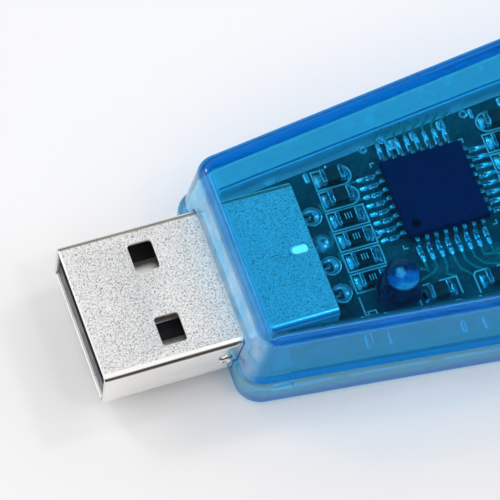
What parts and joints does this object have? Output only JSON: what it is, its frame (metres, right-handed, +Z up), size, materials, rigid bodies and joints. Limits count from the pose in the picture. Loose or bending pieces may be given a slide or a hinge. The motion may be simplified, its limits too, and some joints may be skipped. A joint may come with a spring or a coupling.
{
  "type": "usb microcontroller programmer",
  "caption": "Stick-shaped programmer with a USB-A plug, a chip-carrying board in a flared two-part clear blue case and a box header at the wide end.",
  "frame": {"origin": "under the middle of the object's length and width, on the flat underside it rests on", "axes": "+X from the USB plug's tip to the header's mouth, +Z up"},
  "size_m": [0.066, 0.0244, 0.0116],
  "materials": {
    "case_lower": "clear blue moulded plastic, glossy",
    "case_upper": "clear blue moulded plastic, glossy",
    "nickel_shell": "nickel-plated sheet with a fine grained top",
    "black_insulator": "black moulded plastic",
    "white_insulator": "white moulded plastic",
    "gold_contact": "gold-plated strip",
    "board": "green solder mask on glass-fibre board",
    "tinned_pad": "tinned copper",
    "solder": "bright solder",
    "mcu_plastic": "matt black moulding compound",
    "tinned_lead": "tin-plated lead",
    "led_epoxy": "water-clear epoxy",
    "resistor_body": "black glaze on ceramic",
    "capacitor_body": "tan ceramic",
    "diode_glass": "amber glass",
    "fuse_body": "dark green laminate",
    "can_aluminium": "drawn aluminium",
    "crystal_steel": "nickel-plated can",
    "header_plastic": "black glass-filled plastic"
  },
  "bodies": {
    "base": {"lower_shell": "case_lower", "usb_shell": "nickel_shell", "usb_tongue": "black_insulator", "usb_rear_block": "white_insulator", "usb_contacts": "gold_contact", "pcb": "board", "usb_pads": "tinned_pad", "usb_solder": "solder", "mcu_body": "mcu_plastic", "mcu_leads": "tinned_lead", "mcu_solder": "solder", "led_lens": "led_epoxy", "led_leadframe": "tinned_lead", "resistor_bodies": "resistor_body", "resistor_terminals": "solder", "capacitor_bodies": "capacitor_body", "capacitor_terminals": "solder", "diode_bodies": "diode_glass", "diode_caps": "tinned_lead", "fuse_body": "fuse_body", "fuse_terminals": "solder", "bulk_capacitor_can": "can_aluminium", "bulk_capacitor_base": "mcu_plastic", "bulk_capacitor_leads": "tinned_lead", "crystal_can": "crystal_steel", "crystal_flange": "crystal_steel", "crystal_leads": "tinned_lead", "header_housing": "header_plastic", "header_pins": "gold_contact", "header_solder": "solder", "through_hole_solder": "solder"},
    "cover": {"upper_shell": "case_upper"}
  },
  "joints": [
    {"name": "cover_lift", "type": "slide", "parent": "base", "child": "cover", "axis": [0, 0, 1], "range_m": [0, 0.016]}
  ]
}
